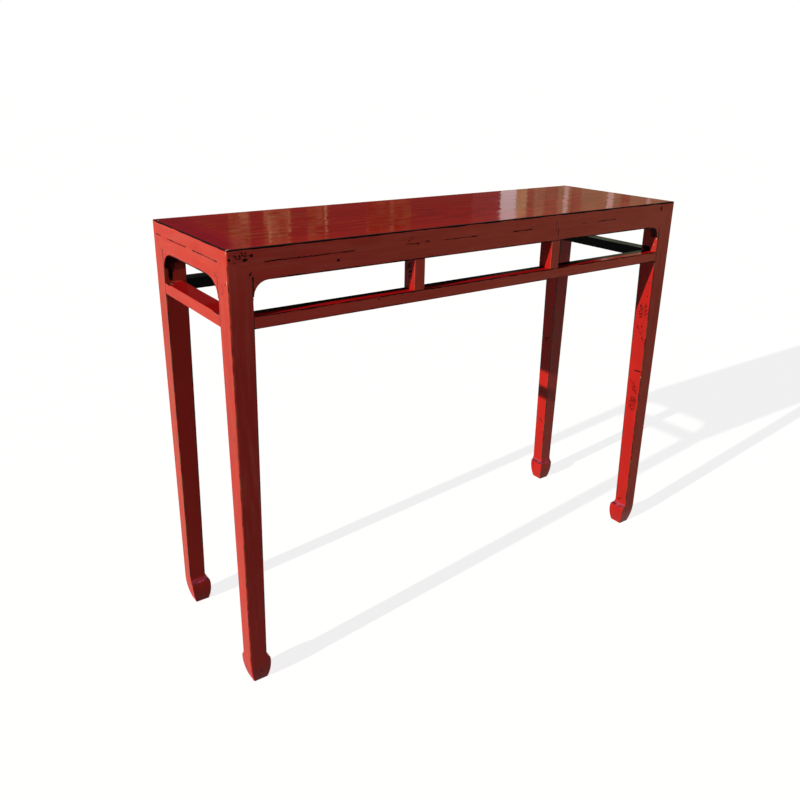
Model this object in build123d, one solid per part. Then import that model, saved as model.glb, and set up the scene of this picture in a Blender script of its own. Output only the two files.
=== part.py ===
from build123d import *
import os

# A narrow side table with flush sides: a framed top, four aprons with drop ears,
# a ring of stretchers, two front struts and four tapered legs with hoof feet.
# Millimetres. +X runs along the length, +Y from the front to the back, +Z up.
# The origin is on the floor under the middle of the table.

# ---- overall
length = 1112.0
depth = 346.0
height = 850.0

# ---- top frame and its panel
frame_thick = 25.0
frame_width = 58.0
board_thick = 12.0
tongue_thick = 5.0        # tongue round the panel, in the frame's groove
tongue_reach = 7.0
seam_tongue = 4.0         # tongue between the two boards, thickness and reach
board_gap = 0.3           # room for the boards to swell
batten_count = 3
batten_width = 30.0
batten_thick = 12.0
dovetail_root = 14.0
dovetail_tip = 18.0
dovetail_height = 4.0

# ---- aprons, each with two drop ears
apron_height = 30.0
apron_thick = 20.0
front_ear_width = 27.0
front_ear_drop = 26.0
side_ear_width = 39.0
side_ear_drop = 32.0
ear_tip = 1.5             # flat end of an ear, where it dies into the leg
mitre_size = 25.0         # run and rise of the shoulder mitre
mitre_skin = 6.0          # thickness of the mitred part of the shoulder

# ---- stretchers and struts
bay_height = 59.0         # clear height between an apron and the stretcher under it
rail_height = 22.0
rail_depth = 34.0
strut_width = 23.5
strut_depth = 33.5
middle_bay = 330.0        # clear width between the two struts

# ---- legs and hoof feet
leg_width = 43.0
ankle_width = 34.0
ankle_height = 64.0
hoof_flare = 8.8          # how far the hoof stands in from the ankle
hoof_belly = 36.0         # height of its widest point
ledge_drop = 14.0         # from the ankle down to the crease on top of the hoof
ledge_set_back = 1.3      # from the widest point out to the crease
hoof_tuck = 8.5           # how far the outer faces draw in at the sole
hoof_tuck_height = 55.0
sole_width = 28.5

# ---- joinery
joint_gap = 0.15          # clearance round a tenon in its mortise
joint_wall = 3.0          # least wood between two joints
thin_wall = 1.5           # the same, inside the thin top frame
frame_tenon_thick = 8.0
frame_tenon_width = 26.0
frame_tenon_blind = 10.0  # wood left outside the frame's tenons
leg_tenon_thick = 8.0
leg_tenon_height = 16.0
apron_tenon_thick = 8.0
ear_tongue_reach = 5.0
rail_tenon_thick = 10.0
rail_tenon_margin = 4.0
strut_tenon_width = 15.0
strut_tenon_thick = 8.0
strut_tenon_height = 14.0
batten_tenon_thick = 6.0
batten_tenon_margin = 4.0
batten_tenon_reach = 14.0
loose_tenon_width = 24.0
loose_tenon_thick = 6.0
loose_tenon_height = 20.0
loose_tenon_pitch = 550.0 # about how far apart they stand along an apron

# ---- eased edges
corner_round = 2.5        # the four outer corners of the table, frame and legs
top_edge_round = 1.8
leg_round = 1.5           # the legs' edges beside the openings
rail_round = 1.0
sole_round = 1.5
ledge_round = 2.5

# ---- heights and ranges that follow
frame_bottom = height - frame_thick
board_bottom = height - board_thick
batten_bottom = board_bottom - batten_thick
apron_bottom = frame_bottom - apron_height
rail_top = apron_bottom - bay_height
rail_bottom = rail_top - rail_height
opening_x = length / 2 - frame_width
opening_y = depth / 2 - frame_width
strut_x = (middle_bay + strut_width) / 2

# Joint ranges at a corner of the table. "along" is measured from the outer end of a
# member, "inward" from its outer face, so one pair serves the long and short sides.
frame_tenon_in = (frame_width - tongue_reach - thin_wall - frame_tenon_width,
                  frame_width - tongue_reach - thin_wall)
frame_tenon_z = (frame_bottom + (frame_thick - frame_tenon_thick) / 2,
                 frame_bottom + (frame_thick + frame_tenon_thick) / 2)
apron_tenon_in = (mitre_skin, mitre_skin + apron_tenon_thick)
apron_tenon_z = (frame_bottom - mitre_size, frame_bottom - mitre_skin)
leg_tenon_in = (apron_tenon_in[1] + joint_wall,
                apron_tenon_in[1] + joint_wall + leg_tenon_thick)
leg_tenon_along = (leg_tenon_in[1] + joint_wall, leg_width - joint_wall)
short_tenon_height = frame_tenon_z[0] - frame_bottom - thin_wall
rail_tenon_in = ((rail_depth - rail_tenon_thick) / 2, (rail_depth + rail_tenon_thick) / 2)
rail_tenon_z = (rail_bottom + rail_tenon_margin, rail_top - rail_tenon_margin)
strut_tenon_in = ((apron_thick - strut_tenon_thick) / 2, (apron_thick + strut_tenon_thick) / 2)
loose_tenon_in = ((apron_thick - loose_tenon_thick) / 2, (apron_thick + loose_tenon_thick) / 2)
groove_z = (board_bottom, board_bottom + tongue_thick)


# ---- small shapes
def block(x, y, z, grow=0.0):
    """A box from its three ranges, each grown by a clearance at both ends."""
    size = [high - low + 2 * grow for low, high in (x, y, z)]
    middle = [(low + high) / 2 for low, high in (x, y, z)]
    return Pos(*middle) * Box(*size)


def mortise(x, y, z):
    """The hole for a tenon of these ranges."""
    return block(x, y, z, joint_gap)


def both_ends(shape):
    """A shape at the left end of a member and its mirror image at the right end."""
    return shape + mirror(shape, about=Plane.YZ)


def end_range(span, near, far):
    """The X range from near to far, both measured from the left end of a member."""
    return (near - span / 2, far - span / 2)


def centred(width, middle=0.0):
    return (middle - width / 2, middle + width / 2)


# A member is modelled as the front one: centred on X, its outer face at Y = 0. These
# put it on each side of the table.
def on_front(shape):
    return Pos(0, -depth / 2, 0) * shape


def on_back(shape):
    return Rot(0, 0, 180) * on_front(shape)


def on_left(shape):
    return Rot(0, 0, -90) * Pos(0, -length / 2, 0) * shape


def on_right(shape):
    return Rot(0, 0, 180) * on_left(shape)


# ---- top frame
def eased_slab():
    """The outside of the assembled frame, with its corners and upper edge eased."""
    slab = block(centred(length), centred(depth), (frame_bottom, height))
    slab = fillet(slab.edges().filter_by(Axis.Z), corner_round)
    return fillet(slab.faces().sort_by(Axis.Z)[-1].edges(), top_edge_round)


def mitred_bar(span):
    """A frame member with mitred ends and the panel groove along its inner edge."""
    half = span / 2
    outline = Polyline((-half, 0), (half, 0), (half - frame_width, frame_width),
                       (frame_width - half, frame_width), close=True)
    bar = extrude(Pos(0, 0, frame_bottom) * make_face(outline), frame_thick)
    groove_in = (frame_width - tongue_reach, frame_width + joint_gap)
    return bar - mortise(centred(span), groove_in, groove_z)


def leg_mortises(span, tenon_height):
    return both_ends(mortise(end_range(span, *leg_tenon_along), leg_tenon_in,
                             (frame_bottom - joint_gap, frame_bottom + tenon_height)))


def frame_tenons(span, grow=0.0):
    """The tenons of the long members; they pass the mitre into the short members."""
    return both_ends(block(end_range(span, frame_tenon_blind, frame_width),
                           frame_tenon_in, frame_tenon_z, grow))


def batten_places():
    pitch = 2 * opening_x / (batten_count + 1)
    return [pitch * (i + 1) - opening_x for i in range(batten_count)]


def loose_tenon_places(span):
    """One loose tenon in a short apron, two in a long one."""
    count = max(1, round(span / loose_tenon_pitch))
    return [span * ((i + 0.5) / count - 0.5) for i in range(count)]


def loose_tenon_set(span, grow=0.0):
    z = centred(loose_tenon_height, frame_bottom)
    return [block(centred(loose_tenon_width, x), loose_tenon_in, z, grow)
            for x in loose_tenon_places(span)]


def batten_tenon(x, grow=0.0):
    """The front tenon of the batten at x, in the table's own frame."""
    y = (-opening_y - batten_tenon_reach, -opening_y)
    z = centred(batten_tenon_thick, batten_bottom + batten_thick / 2)
    return block(centred(batten_width - 2 * batten_tenon_margin, x), y, z, grow)


def long_frame_member():
    member = mitred_bar(length) + frame_tenons(length)
    member -= leg_mortises(length, leg_tenon_height)
    for tenon in loose_tenon_set(length, joint_gap):
        member -= tenon
    for x in batten_places():
        member -= Pos(0, depth / 2, 0) * batten_tenon(x, joint_gap)
    return member


def short_frame_member():
    member = mitred_bar(depth) - leg_mortises(depth, short_tenon_height)
    # The frame tenons come from the long members, so here they lie across the member.
    across = (frame_tenon_blind, frame_width)
    member -= both_ends(block(end_range(depth, *frame_tenon_in), across, frame_tenon_z,
                              joint_gap))
    for tenon in loose_tenon_set(depth, joint_gap):
        member -= tenon
    return member


# ---- panel
def dovetail(grow=0.0):
    """Outline of a batten's dovetail key on the XZ plane, on top of the batten."""
    root, tip = dovetail_root / 2 + grow, dovetail_tip / 2 + grow
    low, high = board_bottom - grow, board_bottom + dovetail_height + grow
    return Plane.XZ * make_face(Polyline((-root, low), (root, low), (tip, high), (-tip, high),
                                         close=True))


def dovetail_key(x, grow=0.0):
    reach = opening_y - board_gap + (joint_gap + tongue_reach if grow else 0.0)
    return Pos(x, reach, 0) * extrude(dovetail(grow), 2 * reach)


def board_blank():
    """Half of the panel, in front of the joint at Y = 0, with its tongue on three sides."""
    face_x = opening_x - board_gap
    face_y = opening_y - board_gap
    tongue = tongue_reach - board_gap
    blank = block(centred(2 * face_x), (-face_y, 0), (board_bottom, height))
    return blank + block(centred(2 * (opening_x + tongue)), (-opening_y - tongue, 0), groove_z)


def seam(grow=0.0):
    """The tongue that joins the two boards, along the whole panel."""
    z = centred(seam_tongue, (board_bottom + dovetail_height + height) / 2)
    return block(centred(2 * (opening_x - board_gap)), (-joint_gap, seam_tongue), z, grow)


def board(front):
    part = board_blank() if front else mirror(board_blank(), about=Plane.XZ)
    for x in batten_places():
        part -= dovetail_key(x, joint_gap)
    return part + seam() if front else part - seam(joint_gap)


def batten(x):
    body = block(centred(batten_width, x), centred(2 * opening_y), (batten_bottom, board_bottom))
    tenon = batten_tenon(x)
    return body + dovetail_key(x) + tenon + mirror(tenon, about=Plane.XZ)


# ---- aprons
def apron_outline(span, ear_width, ear_drop):
    """Front view of an apron between the legs, with its two ears."""
    leg_face = leg_width - span / 2
    ear_low = apron_bottom - ear_drop
    arc_start = leg_face + ear_tip
    arc_end = arc_start + ear_width
    left = EllipticalCenterArc((arc_end, ear_low), ear_width, ear_drop, 90, arc_size=90)
    right = EllipticalCenterArc((-arc_end, ear_low), ear_width, ear_drop, 0, arc_size=90)
    edges = [left, right,
             Line((arc_end, apron_bottom), (-arc_end, apron_bottom)),
             Polyline((-arc_start, ear_low), (-leg_face, ear_low), (-leg_face, frame_bottom),
                      (leg_face, frame_bottom), (leg_face, ear_low), (arc_start, ear_low))]
    return Plane.XZ * make_face(edges)


def mitre_skin_prism(span):
    """The mitred front of the shoulder, which lies over the leg."""
    leg_face = leg_width - span / 2
    corner = Polyline((leg_face, frame_bottom), (leg_face - mitre_size, frame_bottom),
                      (leg_face, frame_bottom - mitre_size), close=True)
    return extrude(Plane.XZ * make_face(corner), mitre_skin, dir=(0, 1, 0))


def apron_tenon(span, ear_drop, grow=0.0):
    """The left tenon of an apron and the shallow tongue under it that holds the ear."""
    full = end_range(span, apron_tenon_in[1] + joint_wall, leg_width)
    shallow = end_range(span, leg_width - ear_tongue_reach, leg_width)
    ear_z = (apron_bottom - ear_drop + joint_wall, apron_tenon_z[0])
    return (block(full, apron_tenon_in, apron_tenon_z, grow)
            + block(shallow, apron_tenon_in, ear_z, grow))


def apron(span, ear_width, ear_drop):
    part = extrude(apron_outline(span, ear_width, ear_drop), apron_thick, dir=(0, 1, 0))
    part += both_ends(mitre_skin_prism(span))
    part += both_ends(apron_tenon(span, ear_drop))
    for tenon in loose_tenon_set(span, joint_gap):
        part -= tenon
    return part


# ---- stretchers and struts
def rail_tenon(span, grow=0.0):
    along = end_range(span, rail_tenon_in[1] + joint_wall, leg_width)
    return block(along, rail_tenon_in, rail_tenon_z, grow)


def stretcher(span):
    part = block(centred(span - 2 * leg_width), (0, rail_depth), (rail_bottom, rail_top))
    part = fillet(part.edges().filter_by(Axis.X), rail_round)
    return part + both_ends(rail_tenon(span))


def strut_tenon_low(x, grow=0.0):
    return block(centred(strut_tenon_width, x), rail_tenon_in,
                 (rail_top - strut_tenon_height, rail_top), grow)


def strut_tenon_high(x, grow=0.0):
    return block(centred(strut_tenon_width, x), strut_tenon_in,
                 (apron_bottom, apron_bottom + strut_tenon_height), grow)


def strut(x):
    part = block(centred(strut_width, x), (0, strut_depth), (rail_top, apron_bottom))
    part = fillet(part.edges().filter_by(Axis.Z), rail_round)
    return part + strut_tenon_low(x) + strut_tenon_high(x)


# ---- legs
def leg_outline():
    """The sawyer's template of a leg: outer face at 0, tapered inner face, hoof."""
    widest = ankle_width + hoof_flare
    ledge = (widest - ledge_set_back, ankle_height - ledge_drop)
    edges = [TangentArc((0, hoof_tuck_height), (hoof_tuck, 0), tangent=(0, -1)),
             Line((hoof_tuck, 0), (hoof_tuck + sole_width, 0)),
             TangentArc((widest, hoof_belly), (hoof_tuck + sole_width, 0), tangent=(0, -1)),
             TangentArc((widest, hoof_belly), ledge, tangent=(0, 1)),
             TangentArc((ankle_width, ankle_height), ledge, tangent=(0, -1)),
             Polyline((ankle_width, ankle_height), (leg_width, rail_bottom),
                      (leg_width, frame_bottom), (0, frame_bottom), (0, hoof_tuck_height))]
    face = make_face(edges)
    crease = face.vertices().sort_by_distance(ledge)[0]
    return fillet(crease, ledge_round)


def upright_edges(shape, place):
    """The long edges of a leg whose middle lies at a place, given as a test of X and Y."""
    edges = [edge for edge in shape.edges() if edge.bounding_box().size.Z > hoof_tuck / 2]
    return [edge for edge in edges if place(edge.center().X, edge.center().Y)]


def leg_blank():
    """The same template sawn from the front and from the side, with its edges eased."""
    reach = 2 * leg_width
    half = leg_width / 2
    from_front = extrude(Plane.XZ * leg_outline(), reach, dir=(0, 1, 0))
    from_side = extrude(Plane.YZ * leg_outline(), reach, dir=(1, 0, 0))
    sawn = from_front & from_side
    sides = upright_edges(sawn, lambda x, y: min(x, y) < half < max(x, y))
    eased = fillet(sides, leg_round)
    # Beside the ears these edges stay sharp, because the aprons are flush with the leg.
    ears_low = apron_bottom - max(front_ear_drop, side_ear_drop)
    eased += sawn & block((0, leg_width), (0, leg_width), (ears_low, frame_bottom))
    eased = fillet(upright_edges(eased, lambda x, y: max(x, y) < half), corner_round)
    return fillet(eased.faces().sort_by(Axis.Z)[0].edges(), sole_round)


def swap_sides(shape):
    """The image of a shape in the diagonal plane of the leg, which swaps its X and Y."""
    return mirror(shape, about=Plane(origin=(0, 0, 0), z_dir=(1, -1, 0)))


def leg():
    """The front left leg, with its outer corner on the Z axis."""
    part = leg_blank()
    at_corner = Pos(length / 2, 0, 0)
    at_side_corner = Pos(depth / 2, 0, 0)
    part -= at_corner * mitre_skin_prism(length)
    part -= swap_sides(at_side_corner * mitre_skin_prism(depth))
    part -= at_corner * apron_tenon(length, front_ear_drop, joint_gap)
    part -= swap_sides(at_side_corner * apron_tenon(depth, side_ear_drop, joint_gap))
    part -= at_corner * rail_tenon(length, joint_gap)
    part -= swap_sides(at_side_corner * rail_tenon(depth, joint_gap))
    part += block(leg_tenon_along, leg_tenon_in, (frame_bottom, frame_bottom + leg_tenon_height))
    part += block(leg_tenon_in, leg_tenon_along, (frame_bottom, frame_bottom + short_tenon_height))
    return part


# ---- the table
def build():
    slab = eased_slab()
    long_member = long_frame_member()
    short_member = short_frame_member()
    back_apron = apron(length, front_ear_width, front_ear_drop)
    side_apron = apron(depth, side_ear_width, side_ear_drop)
    front_apron = back_apron
    long_stretcher = stretcher(length)
    front_stretcher = long_stretcher
    for x in (-strut_x, strut_x):
        front_apron = front_apron - strut_tenon_high(x, joint_gap)
        front_stretcher = front_stretcher - strut_tenon_low(x, joint_gap)
    side_stretcher = stretcher(depth)
    front_left_leg = Pos(-length / 2, -depth / 2, 0) * leg()
    front_right_leg = mirror(front_left_leg, about=Plane.YZ)

    nodes = {
        "top_frame_front": on_front(long_member) & slab,
        "top_frame_back": on_back(long_member) & slab,
        "top_frame_left": on_left(short_member) & slab,
        "top_frame_right": on_right(short_member) & slab,
        "top_board_front": board(front=True),
        "top_board_back": board(front=False),
        "apron_front": on_front(front_apron),
        "apron_back": on_back(back_apron),
        "apron_left": on_left(side_apron),
        "apron_right": on_right(side_apron),
        "stretcher_front": on_front(front_stretcher),
        "stretcher_back": on_back(long_stretcher),
        "stretcher_left": on_left(side_stretcher),
        "stretcher_right": on_right(side_stretcher),
        "strut_front_left": on_front(strut(-strut_x)),
        "strut_front_right": on_front(strut(strut_x)),
        "leg_front_left": front_left_leg,
        "leg_front_right": front_right_leg,
        "leg_back_left": mirror(front_left_leg, about=Plane.XZ),
        "leg_back_right": mirror(front_right_leg, about=Plane.XZ),
    }
    for name, x in zip(("batten_left", "batten_middle", "batten_right"), batten_places()):
        nodes[name] = batten(x)

    loose = [put(tenon) for put, span in ((on_front, length), (on_back, length),
                                          (on_left, depth), (on_right, depth))
             for tenon in loose_tenon_set(span)]
    nodes["loose_tenons"] = Compound(children=loose)
    return nodes


os.makedirs("parts", exist_ok=True)
for name, shape in build().items():
    export_step(shape, f"parts/{name}.step")
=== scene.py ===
import math
from types import SimpleNamespace

import bpy
from mathutils import Matrix, Vector


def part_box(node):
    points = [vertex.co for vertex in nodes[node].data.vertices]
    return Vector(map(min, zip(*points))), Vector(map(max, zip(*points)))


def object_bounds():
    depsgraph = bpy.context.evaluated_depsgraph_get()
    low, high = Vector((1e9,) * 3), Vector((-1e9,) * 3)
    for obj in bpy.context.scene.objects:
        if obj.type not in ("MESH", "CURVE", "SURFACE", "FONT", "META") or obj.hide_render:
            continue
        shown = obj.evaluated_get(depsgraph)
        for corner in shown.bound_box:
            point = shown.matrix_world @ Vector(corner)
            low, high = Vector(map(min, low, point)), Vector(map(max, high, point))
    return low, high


# An old altar table in red lacquer over a black undercoat, in its own frame: +X along the
# length, +Y to the back, +Z up, and the origin on the floor under its middle. Lengths on
# the table are in millimetres here. The scene, and the studio round the table, are in metres.
MM = 0.001
ALONG_X, ALONG_Y, ALONG_Z = range(3)

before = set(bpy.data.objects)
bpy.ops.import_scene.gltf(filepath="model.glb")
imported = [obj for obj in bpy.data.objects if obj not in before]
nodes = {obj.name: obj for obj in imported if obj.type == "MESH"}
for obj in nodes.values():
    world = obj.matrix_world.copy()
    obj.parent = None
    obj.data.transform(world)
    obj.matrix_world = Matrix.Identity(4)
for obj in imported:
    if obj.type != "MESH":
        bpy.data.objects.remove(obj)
cad_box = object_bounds()

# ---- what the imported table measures
table_high = cad_box[1]
half_length = table_high.x / MM
half_depth = table_high.y / MM
height = table_high.z / MM
frame_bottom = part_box("top_frame_front")[0].z / MM
apron_thick = half_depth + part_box("apron_front")[1].y / MM
rail_bottom, rail_top = (corner.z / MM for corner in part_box("stretcher_front"))
rail_depth = half_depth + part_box("stretcher_front")[1].y / MM
leg_width = half_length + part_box("leg_front_left")[1].x / MM
ear_low = {ALONG_X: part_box("apron_front")[0].z / MM, ALONG_Y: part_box("apron_left")[0].z / MM}
apron_height = 30.0      # between its ears
apron_bottom = frame_bottom - apron_height
mitre_size = 25.0        # run and rise of the mitre between a leg and an apron
ankle_height, ankle_width = 64.0, 34.0


def tint(code):
    """An sRGB hex colour as linear red, green, blue and alpha."""
    def linear(value):
        return value / 12.92 if value <= 0.04045 else ((value + 0.055) / 1.055) ** 2.4
    return tuple(linear(int(code[i:i + 2], 16) / 255) for i in (1, 3, 5)) + (1.0,)


def add_node(tree, kind, inputs=(), **settings):
    """Adds a node; an input is a value, a socket, or a node whose first output feeds it.

    A Map Range node, the most used here, takes a value, the two levels that it is stretched
    between, and what it gives at these, which is 0 and 1 unless said otherwise.
    """
    node = tree.nodes.new("ShaderNode" + kind)
    for setting, value in settings.items():
        setattr(node, setting, value)
    for socket, value in (inputs.items() if isinstance(inputs, dict) else enumerate(inputs)):
        if isinstance(value, bpy.types.Node):
            value = value.outputs[0]
        if isinstance(value, bpy.types.NodeSocket):
            tree.links.new(value, node.inputs[socket])
        else:
            node.inputs[socket].default_value = value
    return node


def new_material(name):
    """A material with an empty node tree."""
    material = bpy.data.materials.new(name)
    material.use_nodes = True
    material.node_tree.nodes.clear()
    return material


# ---- camera, at standing height in front of the left corner
eye = Vector((-1032.6, -1318.0, 1098.0)) * MM


def add_camera():
    """Looks down at the table, turned to its right end and a little out of level."""
    camera = bpy.data.objects.new("camera", bpy.data.cameras.new("camera"))
    bpy.context.scene.collection.objects.link(camera)
    camera.data.lens = 35.257
    camera.data.sensor_width = 36.0
    camera.data.shift_x = 0.00696
    camera.data.shift_y = -0.03375
    turn, tip, roll = (math.radians(angle) for angle in (-34.988, -20.277, 0.850))
    camera.matrix_world = (Matrix.Translation(eye)
                           @ Matrix.Rotation(turn, 4, "Z")
                           @ Matrix.Rotation(math.pi / 2 + tip, 4, "X")
                           @ Matrix.Rotation(roll, 4, "Z"))
    bpy.context.scene.camera = camera


add_camera()


# ---- light: a low warm sun from the left, a dim sky, and what the polish mirrors
def add_sun(name, strength, width, travel, colour="#FFFFFF"):
    """A far lamp whose light travels this way, and which looks this many degrees wide."""
    lamp = bpy.data.lights.new(name, "SUN")
    lamp.energy = strength
    lamp.color = tint(colour)[:3]
    lamp.angle = math.radians(width)
    sun = bpy.data.objects.new(name, lamp)
    bpy.context.scene.collection.objects.link(sun)
    sun.rotation_euler = Vector(travel).to_track_quat("-Z", "Y").to_euler()
    return sun


def seen_directly(tree):
    """1 for camera, glossy and transmission rays, which all see the white background."""
    ray = add_node(tree, "LightPath")
    mirrored = add_node(tree, "Math", [ray.outputs["Is Glossy Ray"],
                                       ray.outputs["Is Transmission Ray"]], operation="MAXIMUM")
    return add_node(tree, "Math", [ray.outputs["Is Camera Ray"], mirrored], operation="MAXIMUM")


def add_world():
    """White to look at; a dim bluish part of it lights the shaded faces."""
    world = bpy.data.worlds.new("pale_sky")
    bpy.context.scene.world = world
    world.use_nodes = True
    tree = world.node_tree
    tree.nodes.clear()
    dim = add_node(tree, "Background", {"Color": tint("#F4F7FF"), "Strength": 0.125})
    white = add_node(tree, "Background", {"Color": tint("#FFFFFF"), "Strength": 1.0})
    add_node(tree, "OutputWorld", [add_node(tree, "MixShader", [seen_directly(tree), dim, white])])


def add_floor():
    """Pale plaster: white to the eye, with the table's shadow, and dim to everything else."""
    bpy.ops.object.select_all(action="DESELECT")
    bpy.ops.mesh.primitive_plane_add(size=400.0, location=(0, 0, 0))
    floor = bpy.context.object
    floor.name = "floor"
    plaster = new_material("pale_plaster_floor")
    tree = plaster.node_tree
    direct = seen_directly(tree)
    bounced, seen, glow_to_white = tint("#6C6C6C"), tint("#A4A4A4"), 0.83
    pale = add_node(tree, "MixRGB", [direct, bounced, seen])
    lit = add_node(tree, "BsdfDiffuse", {"Color": pale})
    strength = add_node(tree, "Math", [direct, glow_to_white], operation="MULTIPLY")
    glow = add_node(tree, "Emission", {"Color": tint("#FFFFFF"), "Strength": strength})
    surface = add_node(tree, "AddShader", [lit, glow])
    below = add_node(tree, "NewGeometry").outputs["Backfacing"]
    clear = add_node(tree, "BsdfTransparent")
    add_node(tree, "OutputMaterial", [add_node(tree, "MixShader", [below, surface, clear])])
    floor.data.materials.append(plaster)


def show_to_reflections_only(thing):
    """Nothing but a glossy ray sees it, and it casts no light or shadow."""
    for rays in ("camera", "diffuse", "transmission", "volume_scatter", "shadow"):
        setattr(thing, "visible_" + rays, False)


def add_glow(name, colour, strength, mottle=0.0):
    """A paint that glows by itself; mottle breaks it up into patches, wider than high."""
    material = new_material(name)
    tree = material.node_tree
    patches_per_metre = (7.0, 7.0, 16.0)
    place = add_node(tree, "TexCoord").outputs["Object"]
    flat = add_node(tree, "VectorMath", [place, patches_per_metre], operation="MULTIPLY")
    patches = add_node(tree, "TexNoise", {"Vector": flat, "Scale": 1.0, "Detail": 3.0})
    level = add_node(tree, "MapRange", [patches, 0.40, 0.60, strength * (1 - mottle),
                                        strength * (1 + mottle)])
    add_node(tree, "OutputMaterial", [add_node(tree, "Emission", [tint(colour), level])])
    return material


def add_curtain():
    """A dark curtain round the studio, so that the polished top stays deep red."""
    radius, tall = 14.0, 11.0
    bpy.ops.object.select_all(action="DESELECT")
    bpy.ops.mesh.primitive_cylinder_add(vertices=64, radius=radius, depth=tall,
                                        end_fill_type="NOTHING", location=(0, 0, tall / 2))
    curtain = bpy.context.object
    curtain.name = "curtain"
    curtain.data.materials.append(add_glow("dark_curtain", "#2E3230", 1.0))
    show_to_reflections_only(curtain)


card_foot, card_head = 0.3, 6.0


def add_card(name, left, right, colour, strength, distance=9.0, mottle=0.0):
    """An upright card that the top mirrors, between two bearings from the eye, in degrees."""
    bpy.ops.object.select_all(action="DESELECT")
    bpy.ops.mesh.primitive_plane_add(size=1.0, location=(0, 0, 0))
    card = bpy.context.object
    card.name = name
    corners = [(bearing, level) for level in (card_foot, card_head) for bearing in (left, right)]
    for vertex, (bearing, level) in zip(card.data.vertices, corners):
        angle = math.radians(bearing)
        vertex.co = (eye.x + distance * math.cos(angle),
                     eye.y + distance * math.sin(angle), level)
    card.data.materials.append(add_glow(name + "_paint", colour, strength, mottle))
    show_to_reflections_only(card)


add_sun("key_light", strength=3.3, width=0.6, travel=(1.0, 0.125, -0.428), colour="#FFF4E6")
# A weaker light for the back and the right end, level, so that it lights nothing else.
back_light = add_sun("back_light", strength=1.8, width=3.0, travel=(-1.0, -0.9, 0.0))
back_light.visible_glossy = False
add_world()
add_floor()
add_curtain()

# Right of the middle, the top mirrors a window, then a hedge with brown gaps behind bright
# bars. Two numbers are the bearings of the left and right edge, and a third is how bright.
window_bars = [(43.2, 42.9, 0.60), (40.2, 39.8, 0.60), (37.6, 37.35, 0.45)]
hedge_gaps = [(45.75, 45.2), (44.5, 43.6), (42.7, 42.0), (39.3, 38.7)]
# Left of the middle, it mirrors sunlit branches.
branches = [(67.1, 65.6, 0.95), (66.3, 65.7, 1.9), (64.6, 62.7, 1.15), (64.3, 64.1, 1.8),
            (62.9, 62.7, 2.2), (61.5, 60.4, 0.7), (60.25, 60.05, 2.2), (57.2, 54.0, 0.5),
            (55.5, 55.2, 0.9)]

add_card("hedge", 46.3, 30.0, "#727D5F", 1.08, distance=9.8, mottle=0.15)
add_card("bright_hedge", 46.5, 45.75, "#A89E76", 1.0, distance=9.5, mottle=0.3)
add_card("pale_hedge", 45.2, 44.5, "#7E8465", 1.0, distance=9.5, mottle=0.3)
add_card("window", 47.6, 46.5, "#FFFFFF", 0.70)
add_card("window_glow", 49.6, 47.6, "#FFE6E0", 0.07, distance=9.4)
for number, (left, right, strength) in enumerate(window_bars, 1):
    add_card(f"window_bar_{number}", left, right, "#FFEFE0", strength, mottle=0.3)
for number, (left, right) in enumerate(hedge_gaps, 1):
    add_card(f"hedge_gap_{number}", left, right, "#6C6650", 0.95, distance=9.3, mottle=0.3)
for number, (left, right, strength) in enumerate(branches, 1):
    # Each stands a little nearer, so that the narrow bright ones lie in front.
    add_card(f"branch_{number}", left, right, "#66563E", strength, distance=9.0 - 0.05 * number,
             mottle=0.9)


# ---- where a point of the table lies
def survey(tree):
    """Sockets with the place of a point in millimetres, also counted in from the outside."""
    own = add_node(tree, "TexCoord")
    spot = add_node(tree, "VectorMath", [own.outputs["Object"], (1 / MM,) * 3],
                    operation="MULTIPLY").outputs[0]
    folded = add_node(tree, "VectorMath", [spot], operation="ABSOLUTE")
    inward = add_node(tree, "VectorMath", [(half_length, half_depth, height), folded],
                      operation="SUBTRACT")
    x, y, z = add_node(tree, "SeparateXYZ", [spot]).outputs
    from_end, from_side, from_top = add_node(tree, "SeparateXYZ", [inward]).outputs
    inside = add_node(tree, "Math", [from_end, from_side], operation="MINIMUM").outputs[0]
    normal = own.outputs["Normal"]
    upward = add_node(tree, "SeparateXYZ", [normal]).outputs["Z"]
    # The same place shaken to and fro by up to 2 mm, every 5 mm or so, which makes every
    # worn edge ragged.
    shake_spacing, shake_width = 5.0, 4.0
    tremble = add_node(tree, "TexNoise", {"Vector": spot, "Scale": 1 / shake_spacing,
                                          "Detail": 3.0})
    centred = add_node(tree, "VectorMath", [tremble.outputs["Color"], (0.5, 0.5, 0.5)],
                       operation="SUBTRACT")
    shaken = add_node(tree, "VectorMath", [centred, (shake_width,) * 3, spot],
                      operation="MULTIPLY_ADD").outputs[0]
    return SimpleNamespace(spot=spot, shaken=shaken, x=x, y=y, z=z, from_end=from_end,
                           from_side=from_side, from_top=from_top, inside=inside,
                           normal=normal, upward=upward)


def tracks(tree, at, along, length, width, detail=3.0):
    """Streaks of this length and width along a piece, as brush hairs and grain leave them."""
    shrink = [1 / width] * 3
    shrink[along] = 1 / length
    drawn = add_node(tree, "VectorMath", [at.spot, shrink], operation="MULTIPLY")
    return add_node(tree, "TexNoise", {"Vector": drawn, "Scale": 1.0, "Detail": detail,
                                       "Roughness": 0.6}).outputs[0]


def strongest(tree, *masks):
    """Where any of the masks is strong."""
    joined = masks[0]
    for mask in masks[1:]:
        joined = add_node(tree, "Math", [joined, mask], operation="MAXIMUM").outputs[0]
    return joined


def overlap(tree, *masks):
    """Where all of the masks are strong."""
    joined = masks[0]
    for mask in masks[1:]:
        joined = add_node(tree, "Math", [joined, mask], operation="MULTIPLY").outputs[0]
    return joined


# ---- wear: each of these is a mask, 1 where the finish is gone

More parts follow.
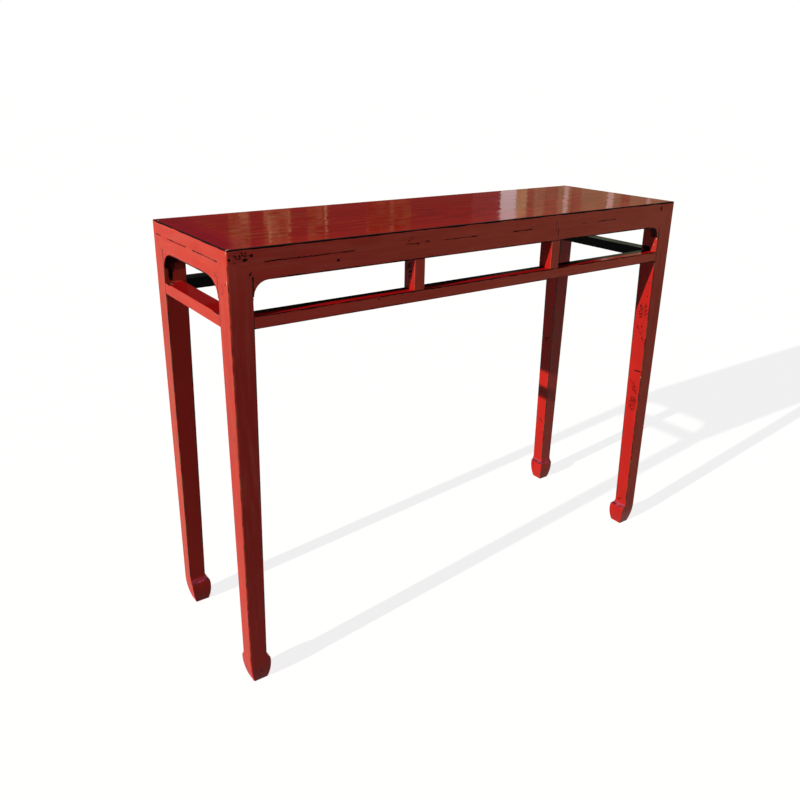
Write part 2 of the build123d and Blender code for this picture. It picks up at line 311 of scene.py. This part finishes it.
# The faces that marks lie on: the axis they face along, where on it they lie, and how deep a
# mark reaches. The right legs' left faces taper, so a mark on them reaches deepest.
mean_leg_width = 40.0
FACES = {"front": (ALONG_Y, -half_depth, 4.0),
         "left": (ALONG_X, -half_length, 4.0),
         "right_legs": (ALONG_X, half_length - mean_leg_width, 14.0),
         "back_legs": (ALONG_Y, half_depth - leg_width, 6.0),
         "left_strut": (ALONG_X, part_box("strut_front_left")[0].x / MM, 3.0),
         "rail_top": (ALONG_Z, rail_top, 3.0),
         "top": (ALONG_Z, height, 3.0)}

# Most of a noise lies between these two levels.
LOW, HIGH = 0.3, 0.7


def stain(tree, at, face, across, up, half_across, half_up, tilt=0.0):
    """One mark with a soft rim: its place and half sizes on a face, and its tilt in degrees."""
    axis, plane, depth = FACES[face]
    middle, reach, turn = [across, up], [half_across, half_up], [0.0, 0.0, 0.0]
    middle.insert(axis, plane)
    reach.insert(axis, depth)
    turn[axis] = math.radians(-tilt if axis == ALONG_Y else tilt)
    near = add_node(tree, "Mapping", {"Vector": at.shaken, "Location": middle, "Scale": reach,
                                      "Rotation": turn}, vector_type="TEXTURE")
    far = add_node(tree, "VectorMath", [near], operation="LENGTH").outputs["Value"]
    return add_node(tree, "MapRange", [far, 0.7, 1.05, 1.0, 0.0])


def specks(tree, at, cell):
    """Scattered chips: one in each cell of this size, with a radius of 0.38 of it."""
    radius, rim = 0.38, 0.08
    cells = add_node(tree, "VectorMath", [at.shaken, (1 / cell,) * 3], operation="MULTIPLY")
    chip = add_node(tree, "TexVoronoi", {"Vector": cells, "Scale": 1.0, "Randomness": 1.0})
    return add_node(tree, "MapRange", [chip.outputs["Distance"], radius, radius + rim, 1.0, 0.0])


def open_stretches(tree, value, half_span, stretches):
    """1 inside each stretch, from and to, along a side of this half length."""
    share = add_node(tree, "MapRange", [value, -half_span, half_span, 0.0, 1.0])
    ramp = add_node(tree, "ValToRGB", [share])
    ramp.color_ramp.interpolation = "CONSTANT"
    ramp.color_ramp.elements.remove(ramp.color_ramp.elements[1])
    ramp.color_ramp.elements[0].color = (0, 0, 0, 1)
    for start, end in stretches:
        for point, level in ((start, 1.0), (end, 0.0)):
            stop = ramp.color_ramp.elements.new((point + half_span) / (2 * half_span))
            stop.color = (level, level, level, 1)
    return ramp.outputs[0]


def crack(tree, at, value, line, width):
    """A hairline where a shaken value crosses a number, thinner and thicker along its way."""
    swing_spacing = 14.0
    swing = add_node(tree, "TexNoise", {"Vector": at.spot, "Scale": 1 / swing_spacing,
                                        "Detail": 2.0})
    off = add_node(tree, "Math", [value, line], operation="SUBTRACT")
    gap = add_node(tree, "Math", [off], operation="ABSOLUTE")
    thick = add_node(tree, "MapRange", [swing, 0.35, 0.65, width * 0.3, width])
    over = add_node(tree, "Math", [gap, thick], operation="SUBTRACT")
    return add_node(tree, "MapRange", [over, 0.0, 0.5, 1.0, 0.0])


def on_outer_face(tree, inward):
    """1 on the outside, gone a millimetre in."""
    return add_node(tree, "MapRange", [inward, 0.4, 1.0, 1.0, 0.0])


def edge_line(tree, at, across, down, narrow, wide, spacing):
    """A worn band along an arris, out to a wandering distance on its two faces.

    across and down are a point's distances from the two faces that meet there. The band
    wanders between its narrow and its wide every so many millimetres of spacing.
    """
    softness = 0.35
    reach = add_node(tree, "Math", [across, down], operation="ADD")
    wander = add_node(tree, "TexNoise", {"Vector": at.spot, "Scale": 1 / spacing, "Detail": 4.0})
    limit = add_node(tree, "MapRange", [wander, 0.33, 0.67, narrow, wide])
    over = add_node(tree, "Math", [reach, limit], operation="SUBTRACT")
    return add_node(tree, "MapRange", [over, -softness, softness, 1.0, 0.0])


def arris_wear(tree, at):
    """Black where the coat is thin on sharp edges, from the aprons' lower edge down.

    A point is on an edge where rounding the edge would turn its face another way.
    """
    rounding, spacing = 2.0, 11.0
    eased = add_node(tree, "Bevel", {"Radius": rounding * MM}, samples=6)
    true_normal = add_node(tree, "NewGeometry").outputs["True Normal"]
    match = add_node(tree, "VectorMath", [eased, true_normal], operation="DOT_PRODUCT")
    wander = add_node(tree, "TexNoise", {"Vector": at.spot, "Scale": 1 / spacing, "Detail": 4.0})
    limit = add_node(tree, "MapRange", [wander, 0.40, 0.62, 0.70, 0.97])
    over = add_node(tree, "Math", [match.outputs["Value"], limit], operation="SUBTRACT")
    below = add_node(tree, "MapRange", [at.z, apron_bottom + 2.0, apron_bottom + 3.0, 1.0, 0.0])
    return overlap(tree, add_node(tree, "MapRange", [over, -0.03, 0.03, 1.0, 0.0]), below)


def leg_arris_wear(tree, at, along):
    """The four upright arrises of a leg, whose inner faces taper down to the ankle.

    The band along them is up to 2 mm wide on the front legs, and more on the back ones.
    """
    width = add_node(tree, "MapRange", [at.z, ankle_height, rail_bottom, ankle_width, leg_width])
    # The inner arrises end at the ankle: on the hoof below they are put out of reach.
    out_of_reach = 50.0
    hoof = add_node(tree, "MapRange", [at.z, ankle_height, ankle_height + 4.0,
                                       out_of_reach, 0.0])
    nearest = []
    for depth in (at.from_end, at.from_side):
        inner = add_node(tree, "Math", [depth, width], operation="SUBTRACT")
        inner = add_node(tree, "Math", [inner], operation="ABSOLUTE")
        inner = add_node(tree, "Math", [inner, hoof], operation="ADD")
        nearest.append(add_node(tree, "Math", [depth, inner], operation="MINIMUM"))
    gap = add_node(tree, "Math", nearest, operation="ADD")
    broken = tracks(tree, at, along, length=15.0, width=4.0, detail=5.0)
    narrow = add_node(tree, "MapRange", [at.y, 0.0, 100.0, 1.35, 1.3])
    wide = add_node(tree, "MapRange", [at.y, 0.0, 100.0, 1.95, 2.6])
    limit = add_node(tree, "MapRange", [broken, 0.40, 0.62, narrow, wide])
    over = add_node(tree, "Math", [gap, limit], operation="SUBTRACT")
    softness, most = 0.3, 0.92
    return add_node(tree, "MapRange", [over, -softness, softness, most, 0.0])


def long_rim_wear(tree, at):
    """Black along the upper edges, where hands and cloths have gone through the lacquer."""
    return edge_line(tree, at, at.from_top, at.inside, narrow=2.0, wide=3.7, spacing=40.0)


def short_rim_wear(tree, at):
    """The same on the short sides, a little narrower."""
    return edge_line(tree, at, at.from_top, at.inside, narrow=1.5, wide=2.8, spacing=40.0)


# Where the joint under the frame has opened, from and to, along the long and the short sides.
long_side_gaps = [(-492, -318), (-209, -182), (-124, -40), (50, 100), (250, 262),
                  (297, 352)]
short_side_gaps = [(-136, -27), (3, 98), (132, 158)]


def frame_joint_wear(tree, at):
    """The joint between the top frame and the aprons has opened in stretches."""
    z = add_node(tree, "SeparateXYZ", [at.shaken]).outputs["Z"]
    line = crack(tree, at, z, line=frame_bottom, width=0.9)
    front = overlap(tree, line, on_outer_face(tree, at.from_side),
                    open_stretches(tree, at.x, half_length, long_side_gaps))
    side = overlap(tree, line, on_outer_face(tree, at.from_end),
                   open_stretches(tree, at.y, half_depth, short_side_gaps))
    return strongest(tree, front, side)


def ear_seam_wear(tree, at, along):
    """The seam between an ear and its leg, as far as the lacquer has parted."""
    across, inward = ((at.from_end, at.from_side) if along == ALONG_X
                      else (at.from_side, at.from_end))
    corner = frame_bottom - mitre_size
    spacing = 20.0
    breaks = add_node(tree, "TexNoise", {"Vector": at.spot, "Scale": 1 / spacing, "Detail": 2.0})
    return overlap(tree, crack(tree, at, across, line=leg_width, width=0.7),
                   add_node(tree, "MapRange", [at.z, ear_low[along], ear_low[along] + 2]),
                   add_node(tree, "MapRange", [at.z, corner, corner + 1, 1.0, 0.0]),
                   on_outer_face(tree, inward), add_node(tree, "MapRange", [breaks, 0.54, 0.62]))


def long_ear_wear(tree, at):
    """The seams on the front and the back."""
    return ear_seam_wear(tree, at, ALONG_X)


def short_ear_wear(tree, at):
    """The seams on the two ends."""
    return ear_seam_wear(tree, at, ALONG_Y)


# Single marks, as stain takes them: a face, a place and two half sizes on it, and a tilt.
# Most are nail heads, knocks, drips and short cracks; two among the leg marks are not, as noted
# there.
frame_marks = [("front", 511, 837, 3.4, 6.0), ("front", 173, 833, 0.7, 8.0),
               ("front", -203, 831, 3.0, 1.2, 10), ("front", -197, 836, 1.0, 2.6),
               ("front", -162, 826, 6.5, 1.3, 12), ("front", -513, 837, 3.4, 2.8),
               ("front", -524, 831, 5.5, 2.6, 8), ("front", -534, 834, 5.0, 0.9, 8),
               ("front", -552, 834, 2.8, 2.4), ("front", -543, 828, 2.0, 1.2),
               ("left", 70, 841, 1.6, 1.6)]
apron_marks = [("front", -352, 812, 3.0, 3.0), ("front", 180, 812, 0.9, 13),
               ("front", 173, 820, 0.7, 6.0), ("front", -183, 823, 1.2, 3.4, 20),
               ("front", -150, 800, 1.0, 2.0), ("front", -517, 806, 1.8, 6.0, -34),
               ("front", -513, 797, 2.4, 7.0), ("front", -512.5, 784, 1.3, 9.0),
               ("left", -124, 802, 7.0, 0.8, 55)]
# Of the leg marks, the second is a black patch low on the front right leg's inner face, just above
# the stretcher.
leg_marks = [("front", -535, 24, 3.4, 2.6), ("right_legs", -143, 741, 14, 7.0),
             ("left", -147, 788, 0.9, 4.0, 20), ("left", -152, 782, 0.8, 6.0),
             ("left", -147, 775, 3.6, 0.9, 20), ("left", 150, 814, 0.8, 4.0),
             ("left", -163, 793, 2.4, 1.2), ("left", -160, 520, 0.8, 5.0),
             ("right_legs", -160, 434, 13, 2.0, -4), ("right_legs", -147, 601, 1.6, 2.2),
             ("right_legs", -147, 578, 1.4, 2.0), ("right_legs", -157, 549, 2.2, 2.6),
             ("right_legs", -163, 627, 2.6, 1.3, 30), ("right_legs", -163, 660, 1.4, 1.8),
             ("right_legs", 152, 437, 9, 1.8, -25), ("right_legs", 157, 430, 1.4, 5.0),
             ("right_legs", 158, 274, 3.0, 2.0), ("right_legs", 154, 186, 11, 1.3, 42),
             ("right_legs", 143, 150, 1.2, 7.0), ("right_legs", 152, 140, 1.6, 1.6),
             ("right_legs", 162, 42, 1.0, 14), ("right_legs", -152, 69, 9.0, 1.5, -30),
             # The first mark on the back legs paints, as black, the shadow that the left apron's
             # ear casts on the back left leg's front face.
             ("back_legs", -532, 800, 32, 32), ("back_legs", -544, 752, 5.0, 17),
             ("back_legs", -538, 764, 1.6, 13, -8)]
long_rail_marks = [("front", -268, 732, 2.6, 1.6), ("rail_top", 520, -146, 22, 6)]
short_rail_marks = [("rail_top", -548, 122, 9, 6)]

# Patches that are broken up into specks, with the size of the specks' cells at the end.
frame_patches = [(("front", -531, 839, 15, 7), 4.5)]
leg_patches = [(("right_legs", -164, 590, 7, 20, -8), 3.6),
               (("right_legs", -150, 585, 7, 24), 3.6),
               (("right_legs", -157, 529, 3.2, 34, -32), 3.6),
               (("right_legs", -152, 396, 6.0, 17, -40), 3.0),
               (("right_legs", -157, 384, 5.0, 17, -40), 3.0),
               (("right_legs", -156, 345, 13, 24), 3.2)]
strut_patches = [(("left_strut", -158, 774, 10, 20), 7.0)]

# Chips through both coats, down to pale wood.
frame_chips = [("top", -552, -170, 4.5, 2.2, 20), ("left", -171, 845, 1.2, 2.6),
               ("top", -552, 150, 1.4, 6.0)]
leg_chips = [("left", -168, 797, 1.2, 4.0), ("right_legs", -169, 768, 1.0, 4.0),
             ("right_legs", -163, 752, 1.2, 1.0), ("right_legs", -172, 421, 1.0, 2.0)]
long_rail_chips = [("rail_top", 190, -152, 6.0, 1.4)]
short_rail_chips = [("rail_top", -536, 128, 14, 0.9), ("rail_top", -549, 112, 1.0, 7.0, 8)]


def scattered(tree, at, worn, marks, patches=()):
    """Joins single marks and speckled patches to a mask, one after another."""
    for mark in marks:
        worn = strongest(tree, worn, stain(tree, at, *mark))
    for patch, cell in patches:
        flecks = overlap(tree, stain(tree, at, *patch), specks(tree, at, cell))
        worn = strongest(tree, worn, flecks)
    return worn


def ledge(tree, at):
    """1 on the ledges of the hoofs, which face upward, from the ankle down."""
    facing_up = add_node(tree, "MapRange", [at.upward, 0.25, 0.5])
    low_down = add_node(tree, "MapRange", [at.z, 66.0, 70.0, 1.0, 0.0])
    return overlap(tree, facing_up, low_down)


def ledge_grime(tree, at):
    """A dark seam of old polish lies along the outer edge of the ledges, which slope down."""
    spacing = 9.0
    patches = add_node(tree, "TexNoise", {"Vector": at.spot, "Scale": 1 / spacing, "Detail": 3.0})
    return overlap(tree, ledge(tree, at),
                   add_node(tree, "MapRange", [patches, 0.40, 0.60, 0.0, 0.8]),
                   add_node(tree, "MapRange", [at.z, 57.0, 53.0]))


def board_joint_wear(tree, at):
    """The joint of the two boards shows as a broken hairline."""
    y = add_node(tree, "SeparateXYZ", [at.shaken]).outputs["Y"]
    broken = tracks(tree, at, ALONG_X, length=90.0, width=30.0)
    shows = add_node(tree, "MapRange", [broken, 0.5, 0.62, 0.0, 0.6])
    return overlap(tree, crack(tree, at, y, line=0.0, width=0.5), shows)


def apron_inside(tree, at):
    """Aprons are black inside, and nearly black on their sawn edges: painted shade, as these edges
    face down into shadow.
    """
    inner_face = add_node(tree, "MapRange", [at.inside, apron_thick - 1.0, apron_thick - 0.4])
    sawn = add_node(tree, "MapRange", [at.inside, 0.6, 1.6])
    spacing = 12.0
    patches = add_node(tree, "TexNoise", {"Vector": at.spot, "Scale": 1 / spacing, "Detail": 3.0})
    patchy = add_node(tree, "MapRange", [patches, 0.46, 0.60, 0.96, 0.78])
    return strongest(tree, inner_face, overlap(tree, sawn, patchy))


def long_stretcher_inside(tree, at):
    """The front one is red in front and on most of its top, the back one only behind."""
    # On the front one, the black on its top starts along the line of the apron's shadow: there the
    # black is painted shadow.
    red_ends, black_starts = 15.5 - half_depth, 18.0 - half_depth
    return overlap(tree, add_node(tree, "MapRange", [at.y, red_ends, black_starts]),
                   add_node(tree, "MapRange", [at.from_side, 0.8, 1.6]))


def short_stretcher_inside(tree, at):
    """The left one is black on its inner face, and the right one on its top as well."""
    inner_face = rail_depth - half_length
    return overlap(tree, add_node(tree, "MapRange", [at.x, inner_face - 1.0, inner_face - 0.4]),
                   add_node(tree, "MapRange", [at.from_end, 0.8, 1.6]))


def board_underside(tree, at):
    """The boards are red on top only."""
    return add_node(tree, "MapRange", [at.from_top, 4.0, 6.0])


def frame_inside(tree, at):
    """The frame is black underneath and on its inner side, below the panel."""
    return overlap(tree, add_node(tree, "MapRange", [at.inside, 3.0, 4.0]),
                   add_node(tree, "MapRange", [at.from_top, 3.0, 4.0]))


def long_stretcher_edge(tree, at):
    """A thin dark line along the outer edges of a long stretcher."""
    down = add_node(tree, "Math", [rail_top, at.z], operation="SUBTRACT")
    up = add_node(tree, "Math", [at.z, rail_bottom], operation="SUBTRACT")
    nearest = add_node(tree, "Math", [down, up], operation="MINIMUM")
    return edge_line(tree, at, nearest, at.inside, narrow=0.5, wide=2.3, spacing=24.0)


def short_stretcher_edge(tree, at):
    """On a short stretcher the line is there only near the legs."""
    line_ends, line_starts = 74.0, 66.0
    down = add_node(tree, "Math", [rail_top, at.z], operation="SUBTRACT")
    return overlap(tree,
                   edge_line(tree, at, down, at.inside, narrow=0.6, wide=2.4, spacing=24.0),
                   add_node(tree, "MapRange", [at.from_side, line_ends, line_starts]))


def apron_edge(tree, at):
    """A dark line along the lower edge of an apron, between its ears."""
    line_starts, line_full = 76.0, 82.0
    up = add_node(tree, "Math", [at.z, apron_bottom], operation="SUBTRACT")
    up = add_node(tree, "Math", [up], operation="ABSOLUTE")
    inward = add_node(tree, "Math", [at.from_end, at.from_side], operation="MAXIMUM")
    return overlap(tree, edge_line(tree, at, up, at.inside, narrow=0.9, wide=2.5, spacing=30.0),
                   add_node(tree, "MapRange", [inward, line_starts, line_full]))


def grain_figure(tree, at):
    """Arched grain of the boards, in rings drawn out lengthwise, 0 to 1 across each ring.

    The rings lie about 22 mm apart across the boards, and 140 mm apart along them.
    """
    heart, stretched = (-330.0, -40.0, 0.0), (460.0, 72.0, 1e6)
    drawn = add_node(tree, "Mapping", {"Vector": at.spot, "Location": heart,
                                       "Scale": stretched}, vector_type="TEXTURE")
    return add_node(tree, "TexWave", {"Vector": drawn, "Scale": 1.0, "Distortion": 7.0,
                                      "Detail": 3.0, "Detail Scale": 1.4},
                    wave_type="RINGS", rings_direction="Z")


# ---- finishes, from the wood outwards
BARE_WOOD = tint("#DDB095")
OCHRE_GROUND = tint("#5E4526")
UNDERCOAT = tint("#0F0B0D")
UNDERCOAT_BY_OCHRE = tint("#1B1210")     # a little browner
# The next colour is a dusty bloom on the outer faces, and a painted hazy reflection on the legs'
# shaded inner faces.
DUST_AND_HAZE = tint("#D07262")
# The next colour is a painted purplish reflection of the sky on the hoofs' ledges.
LEDGE_SKY_REFLECTION = tint("#C04A64")

# Roughness as a grey, for a mix: where the coat is worn through or left unpolished, and on
# the undercoat of a polished piece.
DULL, HALF_DULL = (0.5, 0.5, 0.5, 1.0), (0.25, 0.25, 0.25, 1.0)

# A point no longer lies on an outer face once it is this many millimetres in, from and to.
SKIN = (0.5, 1.5)


def board_grain_and_painted_gold(tree, at):
    """Deep red, thinly laid so that the grain shows in dark rings. Arches of golden colour follow
    the grain: a painted reflection of sunlit leaves.

    The painted golden colour is strong over the left third of the boards, short of the end itself.
    """
    figure = grain_figure(tree, at)
    spacing = 110.0
    patchy = add_node(tree, "TexNoise", {"Vector": at.spot, "Scale": 1 / spacing, "Detail": 4.0})
    faint, strong, fading, dimmed = -180.0, -330.0, -430.0, -500.0
    painted_gold = overlap(tree, add_node(tree, "MapRange", [figure, 0.60, 0.98]),
                   add_node(tree, "MapRange", [patchy, 0.44, 0.60]),
                   add_node(tree, "MapRange", [at.x, faint, strong, 0.15, 0.75]),
                   add_node(tree, "MapRange", [at.x, dimmed, fading, 0.2, 1.0]))
    ring = add_node(tree, "MapRange", [figure, 0.0, 0.5, 0.45, 0.0])
    deep = add_node(tree, "MixRGB", [ring, tint("#CC211A"), tint("#A31917")])
    return add_node(tree, "MixRGB", [painted_gold, deep, tint("#C2703A")])


def frame_polish(tree, at):
    """Deep red, thick and even, and crimson at the left end."""
    leftmost = add_node(tree, "MapRange", [at.x, -470.0, -530.0])
    return add_node(tree, "MixRGB", [leftmost, tint("#CE271E"), tint("#C0122A")])


def stretcher_polish(tree, at):
    """Deep red all over, a little darker."""
    return tint("#C8181B")


def lacquer(name, along, wear, black=None, polish=None, upright=False, marks=(), patches=(),
            chips=()):
    """Red lacquer brushed on over black undercoat, and worn by hand.

    Its IOR is a resin's, 1.5, and dust and wear turn its reflection down. along is the way
    the brush went. wear lists functions that give a mask where the black shows; black is the
    same for the sides that never got their red. polish gives the colour of an upper face
    that is rubbed smooth, and upright is for the legs.
    """
    material = new_material(name)
    tree = material.node_tree
    at = survey(tree)

    # Light has bleached the outer faces to a dusty orange red, the short sides most. The long
    # ones are painted lighter and browner to the right, a painted reflection of the hedge, and the
    # legs darker below their upper part, painted shade near the floor. Sheltered faces keep the
    # fresh red; those among them that face the front get a darker, browner red, painted shade
    # with the hazy reflection that these faces show.
    rightward = add_node(tree, "MapRange", [at.x, -450.0, 450.0])
    backward = add_node(tree, "MapRange", [at.y, -120.0, 120.0])
    long_side = add_node(tree, "MixRGB", [rightward, tint("#C34136"), tint("#CB5B43")])
    short_side = tint("#D53B28")
    if upright:
        high = add_node(tree, "MapRange", [at.z, 640.0, frame_bottom])
        low_long = add_node(tree, "MixRGB", [rightward, tint("#AD2D26"), tint("#B53B24")])
        low_short = add_node(tree, "MixRGB", [backward, tint("#CA3523"), tint("#CA3E27")])
        long_side = add_node(tree, "MixRGB", [high, low_long, long_side])
        short_side = add_node(tree, "MixRGB", [high, low_short, short_side])
    fresh = add_node(tree, "MixRGB", [backward, tint("#C21E16"), tint("#CF2219")])
    facing_back = add_node(tree, "SeparateXYZ", [at.normal]).outputs["Y"]
    facing_front = add_node(tree, "MapRange", [facing_back, -0.5, -0.9])
    dimmed = add_node(tree, "MixRGB", [rightward, tint("#A8281F"), tint("#BE4030")])
    sheltered = add_node(tree, "MixRGB", [facing_front, fresh, dimmed])
    red = add_node(tree, "MixRGB", [add_node(tree, "MapRange", [at.from_side, *SKIN]),
                                    long_side, sheltered])
    red = add_node(tree, "MixRGB", [add_node(tree, "MapRange", [at.from_end, *SKIN]),
                                    short_side, red])

    # Tracks of a brush's hairs, about 2 mm wide so that they show, the swathes of the brush
    # itself, and hand-sized clouds where the coat is thicker.
    hairs = tracks(tree, at, along, length=160.0, width=2.2)
    swathes = tracks(tree, at, along, length=380.0, width=30.0, detail=4.0)
    cloud_size = 70.0
    cloud = add_node(tree, "TexNoise", {"Vector": at.spot, "Scale": 1 / cloud_size,
                                        "Detail": 3.0})
    shade = overlap(tree, add_node(tree, "MapRange", [hairs, LOW, HIGH, 0.92, 1.06]),
                    add_node(tree, "MapRange", [swathes, LOW, HIGH, 0.93, 1.06]),
                    add_node(tree, "MapRange", [cloud, LOW, HIGH, 0.94, 1.05]))

    # A dusty bloom lies in streaks on the outer faces. On the legs' inner faces above the
    # stretchers the same pale colour is a painted reflection: the brownish haze that these shaded
    # faces show.
    streaks = tracks(tree, at, along, length=90.0, width=9.0)
    bloom_and_haze = overlap(tree, add_node(tree, "MapRange", [streaks, 0.44, 0.70, 0.0, 0.24]),
                    add_node(tree, "MapRange", [at.inside, *SKIN, 1.0, 0.0]))
    if upright:
        bloom_and_haze = overlap(tree, bloom_and_haze, add_node(tree, "MapRange", [at.z, 60.0, 450.0, 0.25, 1.0]))
        dust_and_haze = overlap(tree, add_node(tree, "MapRange", [at.z, rail_bottom, rail_top, 0.0, 0.13]),
                       add_node(tree, "MapRange", [at.inside, *SKIN]))
        bloom_and_haze = strongest(tree, bloom_and_haze, dust_and_haze)
    red = add_node(tree, "MixRGB", [bloom_and_haze, red, DUST_AND_HAZE])

    if polish:
        rubbed = add_node(tree, "MapRange", [at.upward, 0.6, 0.9])
        red = add_node(tree, "MixRGB", [rubbed, red, polish(tree, at)])
    colour = add_node(tree, "MixRGB", [1.0, red, shade], blend_type="MULTIPLY")

    if upright:
        # Ochre ground and black undercoat show by turns along the arrises of a leg, and the ledge
        # of the hoof, which faces up, gets a painted purplish reflection of the sky.
        ledge_reflection = overlap(tree, ledge(tree, at), 0.75)
        with_ledge_reflection = add_node(tree, "MixRGB", [ledge_reflection, colour, LEDGE_SKY_REFLECTION])
        line = leg_arris_wear(tree, at, along)
        spacing = 25.0
        ground = add_node(tree, "TexNoise", {"Vector": at.spot, "Scale": 1 / spacing,
                                             "Detail": 3.0})
        turns = add_node(tree, "MapRange", [ground, 0.40, 0.54])
        under = add_node(tree, "MixRGB", [turns, OCHRE_GROUND, UNDERCOAT_BY_OCHRE])
        colour = add_node(tree, "MixRGB", [line, with_ledge_reflection, under])

    gone = wear[0](tree, at)
    for worn in wear[1:]:
        gone = strongest(tree, gone, worn(tree, at))
    gone = scattered(tree, at, gone, marks, patches)
    unlacquered = black(tree, at) if black else None
    dark = strongest(tree, gone, unlacquered) if black else gone
    colour = add_node(tree, "MixRGB", [dark, colour, UNDERCOAT])
    if chips:
        bare = scattered(tree, at, 0.0, chips)
        colour = add_node(tree, "MixRGB", [bare, colour, BARE_WOOD])

    # The undercoat hardly reflects, except on a polished piece's upper face.
    dead = dark
    if polish:
        # Rubbed to a mirror, with lengthwise tracks that stayed a little duller. Only slow
        # waves, some 44 mm wide, bend what it mirrors.
        wave_height = 0.4
        fine = add_node(tree, "MapRange", [swathes, 0.40, 0.72, 0.03, 0.12])
        rough = add_node(tree, "MixRGB", [rubbed, DULL, fine])
        flow = tracks(tree, at, along, length=150.0, width=44.0, detail=1.0)
        waves = overlap(tree, add_node(tree, "MapRange", [flow, 0.0, 1.0, 0.0, wave_height]),
                        rubbed)
        rough = add_node(tree, "MixRGB", [unlacquered, rough, HALF_DULL])
        dead = overlap(tree, dark, add_node(tree, "MapRange", [at.upward, 0.9, 0.6]))
    else:
        ridge_height = 0.05
        rough = add_node(tree, "MapRange", [hairs, LOW, HIGH, 0.42, 0.56])
        waves = add_node(tree, "MapRange", [hairs, 0.0, 1.0, 0.0, ridge_height])
    rough = add_node(tree, "MixRGB", [gone, rough, DULL])

    # Height of the surface in millimetres. The coat ends in a small step at a worn place,
    # but not on the legs, whose many marks would be too much for one material.
    step = -0.10
    relief = waves if upright else add_node(tree, "Math", [gone, step, waves],
                                            operation="MULTIPLY_ADD")
    bump = add_node(tree, "Bump", {"Height": relief, "Strength": 1.0, "Distance": MM})
    # The right legs kept more shine on their inner faces.
    shine, most_shine, least_shine = 0.15, 0.24, 0.03
    if upright:
        kept = overlap(tree, add_node(tree, "MapRange", [at.inside, *SKIN]), rightward)
        shine = add_node(tree, "MapRange", [kept, 0.0, 1.0, shine, most_shine])
    level = add_node(tree, "MapRange", [dead, 0.0, 1.0, shine, least_shine])
    shader = add_node(tree, "BsdfPrincipled", {"Base Color": colour, "Roughness": rough,
                                               "Normal": bump, "Specular IOR Level": level})
    shader.inputs["IOR"].default_value = 1.5
    add_node(tree, "OutputMaterial", [shader])
    return material


def plain_finish(name, colour, roughness):
    """A matt surface with a little tone in it, for what the light hardly reaches."""
    material = new_material(name)
    tree = material.node_tree
    at = survey(tree)
    streak_height = 0.1
    streaks = tracks(tree, at, ALONG_Y, length=60.0, width=2.0)
    tone = add_node(tree, "MapRange", [streaks, LOW, HIGH, 0.6, 1.3])
    shade = add_node(tree, "MixRGB", [1.0, tint(colour), tone], blend_type="MULTIPLY")
    relief = add_node(tree, "Bump", {"Height": streaks, "Strength": 1.0,
                                     "Distance": streak_height * MM})
    shader = add_node(tree, "BsdfPrincipled", {"Base Color": shade, "Normal": relief})
    shader.inputs["Roughness"].default_value = roughness
    shader.inputs["Specular IOR Level"].default_value = 0.2
    add_node(tree, "OutputMaterial", [shader])
    return material


# Polished lacquer is a dark mirror over a clear deep red. Brushed lacquer is softer to the
# eye: bleached orange red with streaks of pale dust and a low, broken gloss.
finishes = {
    # Mirror-bright on top, with a black rim where hands wore it, and brushed on its edge.
    "top_frame_long": lacquer("polished_lacquer_long_frame", ALONG_X,
                              [long_rim_wear, frame_joint_wear], frame_inside,
                              polish=frame_polish, marks=frame_marks, patches=frame_patches,
                              chips=frame_chips),
    # The same with its brush tracks across the table, and a narrower black rim.
    "top_frame_short": lacquer("polished_lacquer_short_frame", ALONG_Y,
                               [short_rim_wear, frame_joint_wear], frame_inside,
                               polish=frame_polish, marks=frame_marks, patches=frame_patches,
                               chips=frame_chips),
    # A mirror with grain in its red, a painted golden reflection of leaves, and a hairline at the
    # joint.
    "board": lacquer("polished_lacquer_boards", ALONG_X, [board_joint_wear], board_underside,
                     polish=board_grain_and_painted_gold),
    # Bleached and dusty outside, dull black inside, with thin dark lines at every edge.
    "apron_long": lacquer("brushed_lacquer_long_apron", ALONG_X,
                          [frame_joint_wear, long_ear_wear, apron_edge, arris_wear],
                          apron_inside, marks=apron_marks),
    # The same, brushed across the table, on the ends that the sun bleached most.
    "apron_short": lacquer("brushed_lacquer_short_apron", ALONG_Y,
                           [frame_joint_wear, short_ear_wear, apron_edge, arris_wear],
                           apron_inside, marks=apron_marks),
    # Polished on top: a deep red mirror in front, black behind, dark at the outer edges. On the
    # front one, the black behind is painted shadow of the apron.
    "stretcher_long": lacquer("polished_lacquer_long_stretcher", ALONG_X,
                              [long_stretcher_edge], long_stretcher_inside,
                              polish=stretcher_polish, marks=long_rail_marks,
                              chips=long_rail_chips),
    # The same across the table, dark at the edges only near the legs.
    "stretcher_short": lacquer("polished_lacquer_short_stretcher", ALONG_Y,
                               [short_stretcher_edge], short_stretcher_inside,
                               polish=stretcher_polish, marks=short_rail_marks,
                               chips=short_rail_chips),
    # Brushed upright, with black specks where the left one was knocked.
    "strut": lacquer("brushed_lacquer_strut", ALONG_Z, [arris_wear], patches=strut_patches),
    # Brushed upright: dusty and bleached outside, fresh red inside, ochre and black arrises.
    "leg": lacquer("brushed_lacquer_leg", ALONG_Z,
                   [frame_joint_wear, long_ear_wear, short_ear_wear, ledge_grime, arris_wear],
                   upright=True, marks=leg_marks, patches=leg_patches, chips=leg_chips),
    # Undercoat brushed on and left: brownish black, matt and streaky.
    "batten": plain_finish("brushed_black_undercoat", "#1B1714", roughness=0.6),
    # Sawn softwood with no coat at all: pale brown, and as dull as dry wood is.
    "loose": plain_finish("bare_softwood", "#9A7146", roughness=0.7),
}


def finish_of(name):
    """The finish of a piece, by the piece's name."""
    if name.startswith("top_board"):
        return "board"
    if name.startswith(("top_frame", "apron", "stretcher")):
        piece, side = name.rsplit("_", 1)
        return piece + ("_long" if side in ("front", "back") else "_short")
    return name.split("_")[0]


for name, node in nodes.items():
    node.data.materials.clear()
    node.data.materials.append(finishes[finish_of(name)])

bpy.context.scene.view_settings.view_transform = "Standard"
